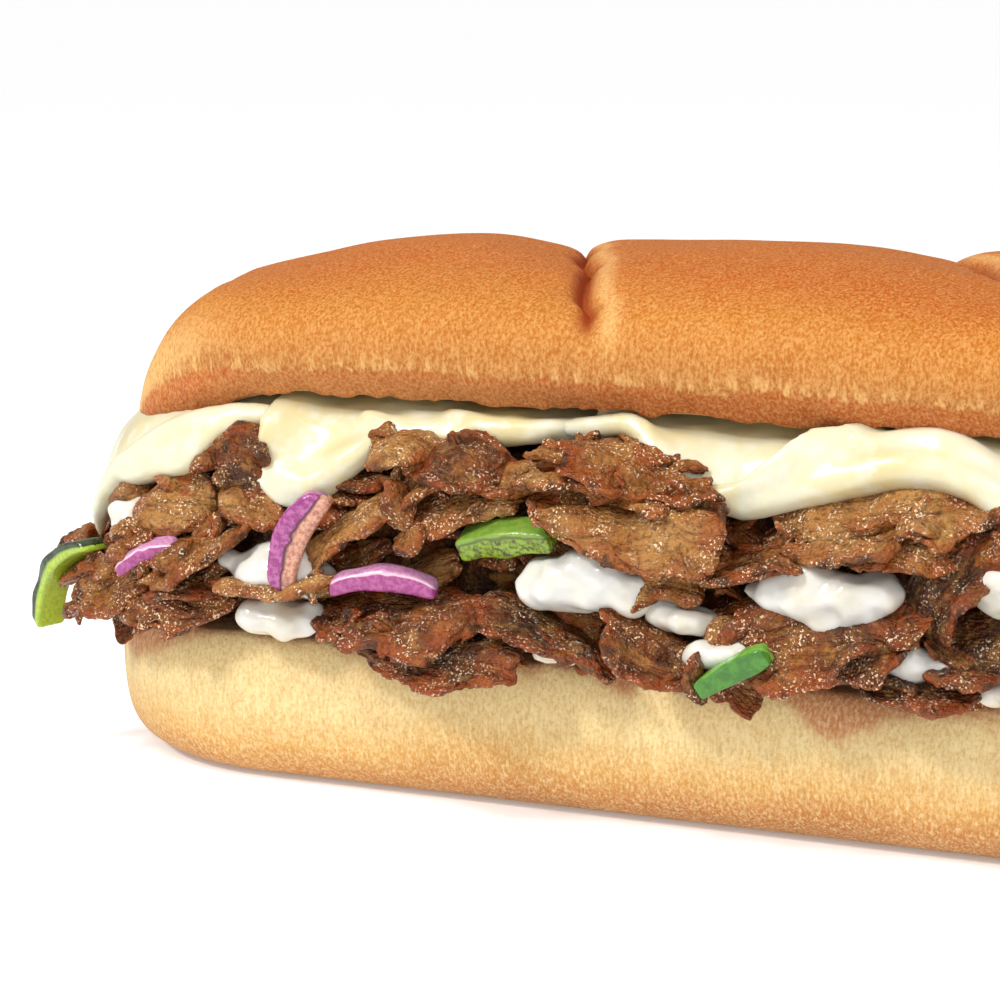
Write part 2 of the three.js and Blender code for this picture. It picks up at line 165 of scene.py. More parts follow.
def heel_place(u, v):
    ring = np.round((v + 1) / 2 * HEEL_ROWS).astype(int)
    side, height = heel_ring[ring, 0], heel_ring[ring, 1]
    x = station(u, HEEL_LENGTH)
    full = end_round(x, HEEL_LENGTH, HEEL_END, ROLL_END_POWER)
    lift = (1 - full) * 8 * (1 - height)
    wide = ROLL_WIDTH / 2 * (1 - 0.12 * (1 - full) * (1 - height)) * full
    spots = points(x, side * wide, lift + height * (HEEL_HEIGHT - lift))
    out = points(0 * x, side, 0.3 * (height - 0.5))
    swell = 0.6 * lumps(spots, 34, 3) + 0.2 * lumps(spots, 13, 4)
    free = smooth(0.05, 0.3, height) * smooth(0, 0.3, full)
    spots += out * (swell * free)[:, None]
    edge = np.exp(-(((height - 0.97) / 0.06) ** 2)) * (np.abs(side) > 0.85)
    spots[:, 2] += edge * 0.5 * lumps(spots * [1, 0, 0], 3.5, 5)
    heel_marks["level"] = height - 0.16 * smooth(-110, 10, x) * (1 - height)
    heel_marks["cut"] = smooth(0.985, 0.999, height) * (1 - smooth(0.86, 0.92, np.abs(side)))
    # Juice stains along the heel's top edge, partly real juice and partly painted shade under the filling.
    reach = sum(depth * np.exp(-(((x - place) / width) ** 2)) for place, width, depth in JUICE_STAINS_AND_SHADE)
    soaked_and_shaded = 1.0 - reach + 0.05 * lumps(spots * [1, 1, 0.4], 7, 6) + 0.03 * lumps(spots, 2.5, 7)
    heel_marks["juice_and_shade"] = 0.9 * smooth(soaked_and_shaded - 0.04, soaked_and_shaded + 0.08, height)
    return spots


heel_marks = {}
heel = grid("roll_lower_half", HEEL_COLUMNS, HEEL_ROWS, heel_place, heel_marks)
close_skin(heel)


def shader(name, **sockets):
    """A new material with its shader's sockets set by name, _ for a space, and a function to add nodes."""
    material = bpy.data.materials.new(name)
    material.use_nodes = True
    tree = material.node_tree
    for socket, value in sockets.items():
        tree.nodes["Principled BSDF"].inputs[socket.replace("_", " ")].default_value = value

    def add(kind, inputs=None, **settings):
        node = tree.nodes.new("ShaderNode" + kind)
        for key, value in settings.items():
            setattr(node, key, value)
        for key, value in (inputs or {}).items():
            if isinstance(value, bpy.types.NodeSocket):
                tree.links.new(value, node.inputs[key])
            else:
                node.inputs[key].default_value = value
        return node

    return material, add


def linked(material, **outputs):
    """Links outputs to sockets of the main shader, named with _ for a space, and returns the material."""
    tree = material.node_tree
    for name, output in outputs.items():
        tree.links.new(output, tree.nodes["Principled BSDF"].inputs[name.replace("_", " ")])
    return material


def mark(add, name):
    """The number that a piece's mesh holds for each point under this name."""
    return add("Attribute", attribute_name=name).outputs["Fac"]


def bump(add, height, distance, strength, **below):
    node = add("Bump", {"Height": height, "Distance": distance, "Strength": strength, **below})
    return node.outputs["Normal"]


def ramp(add, value, stops):
    """A colour ramp over a value: stops are (position, colour)."""
    node = add("ValToRGB", {"Fac": value})
    bar = node.color_ramp
    while len(bar.elements) < len(stops):
        bar.elements.new(0.5)
    for element, (position, colour) in zip(bar.elements, stops):
        element.position = position
        element.color = (*colour, 1)
    return node.outputs["Color"]


def grey(add, value, low, high):
    """The value stretched so that low gives 0 and high gives 1."""
    node = add("MapRange", {"Value": value, "From Min": low, "From Max": high}, clamp=True)
    return node.outputs["Result"]


def mixed(add, share, first, second):
    """Two colours mixed by a share."""
    colours = [(*colour, 1) if isinstance(colour, tuple) else colour for colour in (first, second)]
    node = add("Mix", {0: share, 6: colours[0], 7: colours[1]}, data_type="RGBA")
    return node.outputs[2]


def cloud(add, size, detail=3.0, rough=0.5, stretch=(1, 1, 1), where=None):
    """Noise of a size in millimetres over the piece, stretched along an axis where asked."""
    if where is None:
        where = add("TexCoord").outputs["Object"]
    scaled = add("Mapping", {"Vector": where, "Scale": tuple(1 / MM / size / s for s in stretch)})
    return add(
        "TexNoise",
        {"Vector": scaled.outputs["Vector"], "Scale": 1.0, "Detail": detail, "Roughness": rough},
    ).outputs["Fac"]


def times(add, value, factor):
    return add("Math", {0: value, 1: factor}, operation="MULTIPLY").outputs[0]


def plus(add, first, second):
    return add("Math", {0: first, 1: second}, operation="ADD").outputs[0]


def tinted(add, colour, share, most, other):
    """A colour mixed with another by a share of a most."""
    return mixed(add, times(add, share, most), colour, other)


# Juice brown, also the colour of the painted shade under the filling.
JUICE_AND_SHADE_BROWN = (0.5, 0.15, 0.06)
# Dark red-brown painted shade in the creases of the crust.
CREASE_SHADE_BROWN = (0.3, 0.05, 0.012)
CRUMB_DEEP = (0.62, 0.42, 0.2)
CRUMB_WHITE = (0.84, 0.7, 0.45)


def crust(name, bands, dark, pale, streaks, drift, brushed, fringe):
    """Baked crust: colour bands by level, streaked where they meet, brushed with upright grain, with a few
    pores. The cut face is pale crumb. Marks of the piece give its level, its cut face, where it is partly
    paler crust and partly painted highlight, where painted shade darkens its creases, and where it is stained
    by juice and darkened by painted shade under the filling. A fringe of pale torn skin hangs round one
    level."""
    material, add = shader(
        name,
        Roughness=0.56,
        Subsurface_Weight=0.12,
        Subsurface_Radius=(1.0, 0.45, 0.2),
        Subsurface_Scale=0.002,
        Specular_IOR_Level=0.12,
        Specular_Tint=(1, 0.78, 0.45, 1),
    )
    level = plus(add, mark(add, "level"), times(add, cloud(add, 24, 3), drift))
    level = plus(add, level, times(add, cloud(add, 1.5, 3, 0.6, (1, 1, 4)), streaks))
    level = plus(add, level, -(drift + streaks) / 2)
    colour = ramp(add, level, bands)
    grain = cloud(add, 0.5, 2, 0.7, (1, 1, 1.5))
    hair = cloud(add, 0.45, 2, 0.6, (1, 1, 6))
    patch = grey(add, cloud(add, 10, 4, 0.6), 0.4, 0.75)
    colour = tinted(add, colour, patch, 0.25, dark)
    # Paler crust and painted highlight, where the piece's mark asks for them.
    colour = mixed(add, mark(add, "bare"), colour, pale)
    # Juice stain and painted shade under the filling.
    colour = mixed(add, mark(add, "juice_and_shade"), colour, JUICE_AND_SHADE_BROWN)
    comb = grey(add, cloud(add, 1.1, 2, 0.5, (1, 1, 7)), 0.5, 0.6)
    above = grey(add, level, fringe, fringe + 0.02)
    below = grey(add, level, fringe + 0.16, fringe + 0.04)
    teeth = times(add, times(add, above, below), comb)
    colour = tinted(add, colour, teeth, 0.55, pale)
    colour = tinted(add, colour, grey(add, grain, 0.4, 0.75), 0.42, pale)
    colour = tinted(add, colour, grey(add, hair, 0.48, 0.72), brushed, pale)
    colour = tinted(add, colour, grey(add, hair, 0.46, 0.28), brushed * 0.6, dark)
    colour = tinted(add, colour, grey(add, grain, 0.52, 0.28), 0.42, dark)
    pore = grey(add, cloud(add, 1.3, 1, 0.5, (1, 1, 1.5)), 0.74, 0.78)
    colour = tinted(add, colour, pore, 0.4, dark)
    # Painted shade along each crease.
    colour = mixed(add, mark(add, "fold"), colour, CREASE_SHADE_BROWN)
    pores = grey(add, cloud(add, 2.4, 4, 0.65), 0.35, 0.62)
    colour = mixed(add, mark(add, "cut"), colour, mixed(add, pores, CRUMB_DEEP, CRUMB_WHITE))
    fine = bump(add, plus(add, grain, hair), 0.0002, 0.7)
    wide = bump(add, cloud(add, 2.6, 3, 0.55, (1, 1, 3)), 0.0006, 0.3, Normal=fine)
    return linked(material, Base_Color=colour, Normal=wide)


heel_crust = crust(
    "heel_crust",
    bands=[
        (0.0, (0.36, 0.11, 0.02)),
        (0.12, (0.46, 0.17, 0.034)),
        (0.3, (0.62, 0.34, 0.095)),
        (0.6, (0.75, 0.57, 0.27)),
        (1.0, (0.83, 0.64, 0.31)),
    ],
    dark=(0.5, 0.24, 0.07),
    pale=(0.88, 0.74, 0.42),
    streaks=0.1,
    drift=0.3,
    brushed=0.45,
    fringe=2.0,
)
heel.data.materials.append(heel_crust)
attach(heel, "root")
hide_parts("bread_heel")

# Upper half of the roll
# The same bread, browner on top, with three slanting creases where the baker scored it and a torn, wrinkled
# edge at the cut. Its ends sag over the filling.
CROWN_LENGTH = 296.5
CROWN_RISE = 24
CROWN_FOOT = 68
CROWN_END = 40
CROWN_SLOPE = 77
CROWN_COLUMNS, CROWN_ROWS = 480, 170
CREASE_GAP = 66
CREASE_CROWDING = 6.3
CREASES = (-66, 3, 66)
CREASE_DEPTH = 4.8
CREASE_SLANTS = (-0.36, -0.55, -0.45)
TIP_DROOP = 12
CROWN_SECTION = [
    [(-0.94, 0), (-1.0, 0.14), (-1.03, 0.36), (-0.97, 0.56)],
    [(-0.97, 0.56), (-0.88, 0.83), (-0.45, 1.0), (0, 1.0)],
    [(0, 1.0), (0.45, 1.0), (0.88, 0.83), (0.97, 0.56)],
    [(0.97, 0.56), (1.03, 0.36), (1.0, 0.14), (0.94, 0)],
    [(0.94, 0), (0.3, 0.03), (-0.3, 0.03), (-0.94, 0)],
]


def slant_at(x):
    nearest = np.round(np.clip(x / CREASE_GAP, -1, 1)).astype(int)
    row = np.array([0, *CREASE_SLANTS, 0], float)
    side = np.sign(x - nearest * CREASE_GAP).astype(int)
    share = np.clip(np.abs(x - nearest * CREASE_GAP) / CREASE_GAP, 0, 1)
    return row[nearest + 2] * (1 - share) + row[nearest + 2 + side] * share


def crease_at(x):
    """How deep the crust is drawn in: a tight fold with a soft shoulder at each crease."""
    depth = 0.0
    for place in CREASES:
        off = x - place
        steep = np.where(off < 0, 1.5, 1.0)
        reach = np.where(off < 0, 12, 4.5)
        depth = depth + 0.62 * np.exp(-((np.abs(off) / steep) ** 1.3)) + 0.4 * np.exp(-((off / reach) ** 2))
    return depth


def beside_crease(x, off, width):
    """1 at a distance to the right of each crease, and less away from it."""
    return sum(np.exp(-(((x - place - off) / width) ** 2)) for place in CREASES)


crown_ring = section_points(CROWN_SECTION, CROWN_ROWS + 1)


def crown_place(u, v):
    ring = np.round((v + 1) / 2 * CROWN_ROWS).astype(int)
    side, height = crown_ring[ring, 0], crown_ring[ring, 1]
    x = station(u, CROWN_LENGTH, CREASE_CROWDING, CREASE_GAP)
    full = end_round(x, CROWN_LENGTH, CROWN_END, ROLL_END_POWER)
    wide = ROLL_WIDTH / 2 * full
    high = CROWN_RISE * end_round(x, CROWN_LENGTH, CROWN_SLOPE, ROLL_END_POWER)
    fade = smooth(0.34, 0.85, height)
    drawn = CREASE_DEPTH * crease_at(x) * fade / CROWN_RISE
    y = side * wide * (1 - drawn * 0.35)
    from_tip = CROWN_LENGTH / 2 - np.abs(x)
    droop = TIP_DROOP * (1 - smooth(0, 22 + 18 * (1 - smooth(0, 0.6, height)), from_tip))
    z = height * high * (1 - drawn) - droop
    stray = 0.6 * np.sin(y / 3.1) + 0.5 * lumps(points(0 * y, y, 0 * y), 2.6, 17)
    lean = (slant_at(x) * y + stray) * end_round(x, CROWN_LENGTH, 60)
    spots = points(x + lean, y, CROWN_FOOT + z)
    out = points(0 * x, side, height)
    swell = 0.7 * lumps(spots, 30, 11) + 0.25 * lumps(spots, 11, 12)
    free = smooth(0.08, 0.35, height) * smooth(0, 0.3, full)
    low = (1 - smooth(0.2, 0.42, height)) * smooth(0.9, 0.97, np.abs(side)) * smooth(0, 0.2, full)
    pleats = 0.32 * lumps(spots * [1, 1, 0.3], 1.9, 13) + 0.35 * lumps(spots * [1, 1, 0.25], 4.5, 14)
    spots += out * (swell * free)[:, None]
    spots[:, 1] += np.sign(side) * pleats * low
    flank = smooth(0.85, 0.95, np.abs(side))
    spots[:, 1] -= np.sign(side) * np.exp(-((height / 0.14) ** 2)) * flank * 1.6
    edge = np.exp(-((height / 0.07) ** 2)) * flank * smooth(0, 0.2, full)
    torn = 0.5 * lumps(spots * [1, 0, 0] + [0, 7, 0], 1.7, 15) + 0.6 * lumps(spots * [1, 0, 0], 6, 16)
    spots[:, 2] += edge * torn
    crown_marks["level"] = height * (1 + 0.15 * smooth(-60, 0, x)) + 0.02 - 0.14 * smooth(105, 142, np.abs(x))
    crown_marks["cut"] = (np.abs(side) < 0.9) * (1 - smooth(0.02, 0.06, height))
    # The pale mark is partly paler crust and partly painted highlight: at mid-height near the tips, along the
    # lower rim at the left end, and on the shoulder just right of each crease.
    tip = smooth(112, 140, np.abs(x)) * (1 - smooth(0.45, 0.8, height)) * smooth(0.3, 0.42, height)
    rim = (1 - smooth(0.12, 0.22, height)) * smooth(-135, -112, x) * (1 - smooth(-85, -60, x))
    light = beside_crease(x, 3.2, 1.6) * smooth(0.3, 0.6, height)
    crown_marks["bare"] = np.clip(0.5 * light + 0.75 * tip + 0.17 * rim, 0, 1)
    # Painted shade in the fold of each crease.
    crown_marks["fold"] = np.clip(1.2 * beside_crease(x, -0.5, 1.3) * smooth(0.46, 0.72, height), 0, 1)
    return spots


crown_marks = {}
crown = grid("roll_upper_half", CROWN_COLUMNS, CROWN_ROWS, crown_place, crown_marks)
close_skin(crown)
crown_crust = crust(
    "crown_crust",
    # The lowest bands, dark red-brown, are partly the crust's baked colour and partly painted shade where the
    # flank curves in under the roll.
    bands=[
        (0.0, (0.32, 0.06, 0.015)),
        (0.12, (0.42, 0.1, 0.026)),
        (0.2, (0.44, 0.115, 0.03)),
        (0.23, (0.42, 0.16, 0.042)),
        (0.45, (0.45, 0.168, 0.034)),
        (0.7, (0.46, 0.15, 0.016)),
        (0.95, (0.42, 0.078, 0.001)),
    ],
    dark=(0.32, 0.07, 0.006),
    pale=(0.8, 0.49, 0.18),
    streaks=0.14,
    drift=0.2,
    brushed=0.2,
    fringe=0.2,
)
crown.data.materials.append(crown_crust)
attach(crown, "root")
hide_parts("bread_crown")

# Shaved steak
# Thin slices of beef, browned on a griddle and heaped: tan and grainy in the middle, red-brown and shiny at
# their torn rims. A dark core fills the heap; its near-black colour is painted shade in the gaps between the
# slices. Each slice is a torn, wavy sheet, thickened by Solidify.
FILL_MIDDLE = 45.8
FILL_HALF_WIDTH = 37
FILL_HALF_HEIGHT = 18.6
FILL_LENGTH = 300
FILL_END = 46
CORE_INSET = 3
CORE_LENGTH = FILL_LENGTH - 2 * CORE_INSET
CORE_FOOT_HALF_WIDTH = 34
CORE_FOOT_DEPTH = 19.4
CORE_COLUMNS, CORE_ROWS = 240, 110
SLICE_THICKNESS = 2.9
SLICE_SHAPE_LEAST = (0.1, -0.3, -0.3, -0.9, -1.2)
SLICE_SHAPE_MOST = (0.4, 0.3, 0.3, 0.9, 1.2)
TIER_HEIGHTS = (30.5, 38.5, 46.5, 54)
# Each shown slice's tone, from tan to near black: partly the meat's own colour and partly painted light and
# shade, lighter for slices high in the heap and darker for low ones.
SHOWN_TONES = (
    (0.8, 0.1, 0.5, 0.4, 0.5, 0.45, 0.3, 0.5, 0.75, 0.5, 0.1, 0.5, 0.2, 0.75, 0.3, 0.05)
    + (0.1, 0.75, 0.85, 0.8, 0.4, 0.45, 0.2, 0.45, 0.1, 0.3, 0.95, 0.7, 0.7, 0.85, 0.85, 0.7)
)
# Each slice is its x, y and z, length and width, the angle that it faces up, its tilt, and its bend.
SHOWN_SLICES = [
    (-112.5, -40, 56.5, 10.5, 11.5, 72, 0, 0),
    (-125, -38.5, 48.5, 17, 12, 60, 3, 1),
    (-131, -42, 42, 11, 8, 15, 4, 1),
    (-118, -43, 43, 17, 9, 25, 24, -1),
    (-123, -45, 38.5, 11, 7, 30, 30, 0),
    (-138, -39, 34, 16, 11, 45, 22, 1),
    (-145, -26, 36, 16, 18, 15, 12, 1),
    (-141, -36, 29, 18, 9, 20, 24, -1),
    (-123, -41, 35, 15, 9, 15, 14, 1),
    (-125, -40, 31.5, 22, 10, 22, 8, 1),
    (-103, -43, 36.5, 23, 9, 3, 6, -1),
    (-152, -16, 37, 20, 14, 10, 20, 0),
    (-83, -40, 60.5, 12, 10, 25, -3, 1),
    (-72, -41, 59.5, 15, 11, 35, -15, 2),
    (-52, -41, 58, 36, 12, 12, -3, 2),
    (-89, -42, 50, 32, 11, 28, 38, 2),
    (-71, -40.5, 54, 20, 10, 40, 10, 2),
    (-83, -43, 34, 28, 13, 40, 5, 2),
    (-77, -43, 28.5, 30, 14, 35, -3, -2),
    (-59, -41, 34.5, 24, 17, 10, -20, 2),
    (-49, -39, 62.5, 20, 10, 15, 5, 1),
    (-43, -42, 59.5, 27, 11, 15, -8, -1),
    (-42, -44, 52, 30, 16, 52, 8, -2),
    (-26, -43, 47.5, 23, 10, 15, 5, 1),
    (-5, -40.5, 56.5, 34, 18, 28, 8, 2),
    (-4, -42, 51.5, 24, 12, 28, 3, 2),
    (6, -43, 46, 18, 16, 60, 60, 2),
    (-12, -44, 37, 29, 16, 42, 10, -2),
    (-37, -41.5, 32.5, 22, 17, 18, -22, -2),
    (3, -39.5, 29, 18, 18, 0, 0, 1),
    (12, -42, 37, 17, 15, 50, 0, 2),
    (14, -41, 54, 14, 14, 45, 20, 1),
]
SHOWN_SCRAPS = [
    (-110, -42, 50, 11, 6, 50, -4, 1),
    (-82, -45.5, 52.5, 9, 5, 70, -50, 1),
    (-80, -45.5, 48, 7, 5, 50, 40, 1),
    (-42, -44, 41, 7, 6, 45, 10, 2),
    (-137, -33, 48, 9, 6, 55, 15, 1),
    (-120, -37, 56, 8, 5, 50, 10, 1),
    (-36, -44, 43, 8, 5, 40, 5, 2),
    (-27, -43.5, 37.5, 8, 5, 40, 15, 2),
    (-154, -22, 38, 7, 4, 40, 28, 0),
]
SCRAP_TONES = (0.1, 0.45, 0.4, 0.3, 0.4, 0.6, 0.3, 0.15, 0.5)


def draw(number):
    value = math.sin(number * 12.9898 + 78.233) * SCATTER
    return value - math.floor(value)


def ruled_slices():
    """The heap's far half, back and ends: slices in tiers, by the same rule as in the model."""
    rows = []

    def lay(x, side, tier, number):
        def jitter(n):
            return draw(number * 11 + n) - 0.5

        z = TIER_HEIGHTS[tier] + 2 * jitter(1)
        y = side * (40 - abs(tier - 1.5) + 2 * jitter(2))
        length, width, facing = 32 + 8 * jitter(3), 15 + 3 * jitter(6), 30 + 30 * jitter(4)
        rows.append((x + 6 * jitter(5), y, z, length, width, facing, 30 * jitter(7), 3, 90 + 90 * side))

    for tier in range(4):
        for place in range(3):
            lay(43 + place * 35 + (tier % 2) * 9, -1, tier, 20 + tier * 3 + place)
            lay(-112 + place * 88 + tier * 21, 1, tier, 50 + tier * 3 + place)
    for number in range(5):
        end = 1 if number < 4 else -1
        pull = [draw(number * 7 + n) - 0.5 for n in range(5)]
        x = end * (148 - 2 * abs(number % 4 - 1.5))
        z = 33 + 7 * (number % 4)
        rows.append((x, 8 - 8 * end + 26 * pull[1], z, 22, 18, 20 * pull[2], 12 * pull[3], 1, 60 * pull[4]))
    return rows


def signed_power(value, power):
    return np.sign(value) * np.abs(value) ** power


def fill_point(x, degrees, off):
    """The heap's mean surface, moved out: 0 degrees is the front, 90 the top and 180 the back."""
    angle = np.radians(degrees)
    full = end_round(x, FILL_LENGTH + 2 * off, FILL_END)
    y = -signed_power(np.cos(angle), 2 / 3) * (FILL_HALF_WIDTH + off) * full
    z = FILL_MIDDLE + signed_power(np.sin(angle), 2 / 3) * (FILL_HALF_HEIGHT + off) * full**0.7
    return points(x + 0 * y, y, z)


def core_place(u, v):
    """The heap's surface drawn in a little, with a flatter foot that stands on the bread."""
    x = u * CORE_LENGTH / 2
    side, rise = np.cos(v * math.pi), np.sin(v * math.pi)
    spots = fill_point(x, v * 180, -CORE_INSET)
    under = v < 0
    upper = end_round(x, CORE_LENGTH, FILL_END)
    lower = end_round(x, CORE_LENGTH, 24, 3)
    full = upper + (lower - upper) * smooth(0, 0.6, -rise)
    spots[under, 1] = -(signed_power(side, 0.3) * CORE_FOOT_HALF_WIDTH * full)[under]
    spots[under, 2] = (FILL_MIDDLE - np.maximum(0, -rise) ** 0.6 * CORE_FOOT_DEPTH)[under]
    free = smooth(0, 0.15, end_round(x, CORE_LENGTH, 20))
    bumps = 2.2 * lumps(spots, 9, 21) + 1.2 * lumps(spots, 3.6, 22)
    return spots + points(0 * x, -side, rise) * (bumps * free)[:, None]


def turned(*degrees):
    """How a piece is turned about x, y and z."""
    return Euler([math.radians(angle) for angle in degrees]).to_matrix()


def flaps(rows, each, seed):
    """Small torn flaps that lie on the outer side of larger slices, each with the tone of its slice."""
    luck = np.random.default_rng(seed)
    small = []
    for x, y, z, length, width, facing, tilt, bend in rows:
        lie = turned(facing, -tilt, 0)
        for _ in range(each):
            a, b = luck.uniform(-0.42, 0.42), luck.choice((-0.4, 0.4)) * luck.uniform(0.3, 1)
            spot = lie @ Vector((a * length, b * width, 0.9 - 4 * bend * a * a)) + Vector((x, y, z))
            size = min(luck.uniform(4, 9), length * 0.45), luck.uniform(2.5, 4.5)
            small.append((*spot, *size, facing + luck.uniform(-25, 25), tilt + luck.uniform(-50, 50), 0.5))
    return small


def slice_of_steak(row, number, pitch, tone):
    """One torn, wavy sheet of steak. Marks give each point's tone, how near the rim it is, and its place."""
    x, y, z, length, width, facing, tilt, bend, turn = (*row, 0)[:9]
    luck = np.random.default_rng(number)
    corner, wedge, skew, curl, twist = luck.uniform(SLICE_SHAPE_LEAST, SLICE_SHAPE_MOST)
    marks = {}

    def place(u, v):
        far = np.maximum(np.abs(u), np.abs(v))
        a = u * np.sqrt(1 - corner * v * v)
        b = v * np.sqrt(1 - corner * u * u)
        across = (a + skew * b) * length * 0.53
        deep = b * (1 - 0.32 * a * a) * (1 + wedge * a) * width * 0.55
        marks["along"] = across
        marks["across"] = deep + number * 5.3
        flat = points(across, deep, 0 * u + number * 9.1)
        pull = np.minimum(1, far * 1.2) ** 2
        for k, (size, reach) in enumerate(((6.5, 2.2), (2.6, 1.2), (1.1, 0.6))):
            reach = reach * min(1.5, width / 9, length / 18)
            across = across + pull * reach * lumps(flat, size, 31 + 2 * k)
            deep = deep + pull * reach * lumps(flat, size, 32 + 2 * k)
        wave = 0.8 * np.sin(a * 2.6 + number) + 0.5 * np.sin(b * 3 + number * 2)
        wave += 0.8 * lumps(flat, 7, 44) + 0.45 * lumps(flat * [0.4, 1, 1], 2.0, 45)
        wave += min(1.7, width / 9) * 1.2 * lumps(flat * [0.22, 1, 1], 3.8, 46)
        wave += curl * b * b + twist * a * b
        marks["rim"] = far
        marks["tone"] = 0 * far + tone
        local = points(across, deep, wave - bend * a * a)
        return local @ np.array(turned(facing, -tilt, turn)).T + [x, y, z]

    return grid("slice", max(5, round(length / pitch)), max(4, round(width / pitch)), place, marks)


def join(pieces, name):
    bpy.ops.object.select_all(action="DESELECT")
    for piece in pieces:
        piece.select_set(True)
    bpy.context.view_layer.objects.active = pieces[0]
    bpy.ops.object.join()
    whole = bpy.context.object
    whole.name = name
    bpy.ops.object.select_all(action="DESELECT")
    whole.select_set(True)
    return whole


def apply_new(piece, kind, **settings):
    """Adds a modifier to the active piece and applies it."""
    modifier = piece.modifiers.new(kind.lower(), kind)
    for key, value in settings.items():
        setattr(modifier, key, value)
    bpy.context.view_layer.objects.active = piece
    bpy.ops.object.modifier_apply(modifier=modifier.name)


def rough_texture(name, size, depth=2):
    texture = bpy.data.textures.new(name, "CLOUDS")
    texture.noise_scale = size * MM
    texture.noise_depth = depth
    return texture


def solidify(piece, weights, thickness, offset):
    """Gives a sheet its thickness in millimetres, times a weight at each point."""
    group = piece.vertex_groups.new(name="thick")
    for index, weight in enumerate(weights):
        group.add([index], float(weight), "REPLACE")
    apply_new(
        piece,
        "SOLIDIFY",
        thickness=thickness * MM,
        offset=offset,
        vertex_group="thick",
        use_quality_normals=True,
    )


steak_lumps = rough_texture("steak_lumps", 2.4)
steak_grain = rough_texture("steak_grain", 0.8, 1)


def thicken(piece, thickness):
    """Gives joined sheets of steak their thickness, thin at the rims, and a grainy surface."""
    rim = np.empty(len(piece.data.vertices))
    piece.data.attributes["rim"].data.foreach_get("value", rim)
    uneven = lumps(points_of(piece) / MM, 4, 37)
    weight = (1 - 0.62 * smooth(0.55, 1.0, rim)) * (0.85 + 0.3 * uneven)
    solidify(piece, np.clip(weight, 0.1, 1), thickness, 0)
    apply_new(piece, "SUBSURF", levels=1, render_levels=1)
    apply_new(piece, "DISPLACE", texture=steak_lumps, strength=0.0009, texture_coords="LOCAL")
    apply_new(piece, "DISPLACE", texture=steak_grain, strength=0.0006, texture_coords="LOCAL")
    bpy.ops.object.shade_smooth()


STEAK_BROWNS = [
    (0.0, (0.44, 0.215, 0.06)),
    (0.35, (0.31, 0.11, 0.02)),
    (0.6, (0.19, 0.046, 0.006)),
    (0.85, (0.062, 0.013, 0.0025)),
    (1.0, (0.022, 0.005, 0.0015)),
]
TAN_FLECK = (0.42, 0.19, 0.04)
DARK_FIBRE = (0.1, 0.02, 0.003)
PALE_FIBRE = (0.45, 0.2, 0.045)
RED_RIM = (0.3, 0.05, 0.006)
CHARRED_RIM = (0.04, 0.012, 0.003)
HOLLOW_SHADE = (0.04, 0.01, 0.002)
PAINTED_GLINT = (0.95, 0.76, 0.52)


def steak_material(name, glaze):
    """Grainy browned meat under a thin glaze of fat: tan and dark fibres that run along each slice, painted
    shade in the hollows of the grain, red and charred rims, and painted glints: small bright specks in
    clusters."""
    material, add = shader(
        name,
        Specular_IOR_Level=0.32,
        Specular_Tint=(1, 0.75, 0.5, 1),
        Coat_Weight=glaze * 0.55,
        Coat_Roughness=0.12,
        Roughness=0.3,
    )
    rim, tone, along, across = (mark(add, name) for name in ("rim", "tone", "along", "across"))
    broad = cloud(add, 7, 3, 0.55)
    fleck = cloud(add, 2.4, 3, 0.6)
    grain = cloud(add, 0.8, 3, 0.6)
    lengthways = add("CombineXYZ", {0: times(add, along, 0.16 * MM), 1: times(add, across, MM)})
    fibre = cloud(add, 1.3, 3, 0.6, where=lengthways.outputs[0])
    colour = ramp(add, plus(add, tone, times(add, plus(add, broad, -0.5), 1.4)), STEAK_BROWNS)
    colour = tinted(add, colour, grey(add, fleck, 0.5, 0.7), 0.6, TAN_FLECK)
    colour = tinted(add, colour, grey(add, fibre, 0.5, 0.68), 0.65, DARK_FIBRE)
    colour = tinted(add, colour, grey(add, fibre, 0.46, 0.3), 0.35, PALE_FIBRE)
    worn = plus(add, rim, times(add, cloud(add, 5, 3), 1.6))
    colour = tinted(add, colour, grey(add, worn, 1.4, 1.8), 0.7, RED_RIM)
    char = plus(add, rim, times(add, cloud(add, 4, 2), 1.6))
    colour = tinted(add, colour, grey(add, char, 1.8, 2.0), 0.85, CHARRED_RIM)
    # Painted shade in the hollows of the grain.
    colour = tinted(add, colour, grey(add, grain, 0.5, 0.34), 0.6, HOLLOW_SHADE)
    # Painted glints: small bright specks in clusters, more of them on the darker tones.
    clusters = grey(add, cloud(add, 4.2, 3), 0.44, 0.58)
    glint_spot = times(add, grey(add, cloud(add, 0.42, 1, 0.5), 0.6, 0.65), clusters)
    colour = tinted(add, colour, times(add, glint_spot, grey(add, tone, 1.3, 0.6)), 1.5 * glaze, PAINTED_GLINT)
    relief = bump(add, plus(add, grain, times(add, fibre, 1.6)), 0.0009, 1.0)
    return linked(material, Base_Color=colour, Normal=relief, Coat_Normal=relief)


browned_steak = steak_material("browned_steak", 0.6)
core_shade_steak = steak_material("core_shade_steak", 0.1)
core_points = (CORE_COLUMNS + 1) * (CORE_ROWS + 1)
# The core takes the darkest tone: painted shade in the gaps between the slices.
core_marks = {"rim": np.full(core_points, 0.5), "tone": np.full(core_points, 1.0)}
core = grid("steak_core", CORE_COLUMNS, CORE_ROWS, core_place, core_marks)
close_skin(core)
core.data.materials.append(core_shade_steak)
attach(core, "root")
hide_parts("shaved_steak")


def lay_steak(name, rows, first, thickness, pitch, tones=None):
    numbers = range(first, first + len(rows))
    tones = tones or [0.1 + 0.75 * draw(number * 5 + 1) for number in numbers]
    pieces = [slice_of_steak(row, number, pitch, tone) for row, number, tone in zip(rows, numbers, tones)]
    heap = join(pieces, name)
    thicken(heap, thickness)
    heap.data.materials.append(browned_steak)
    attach(heap, "root")
    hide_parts("shaved_steak")


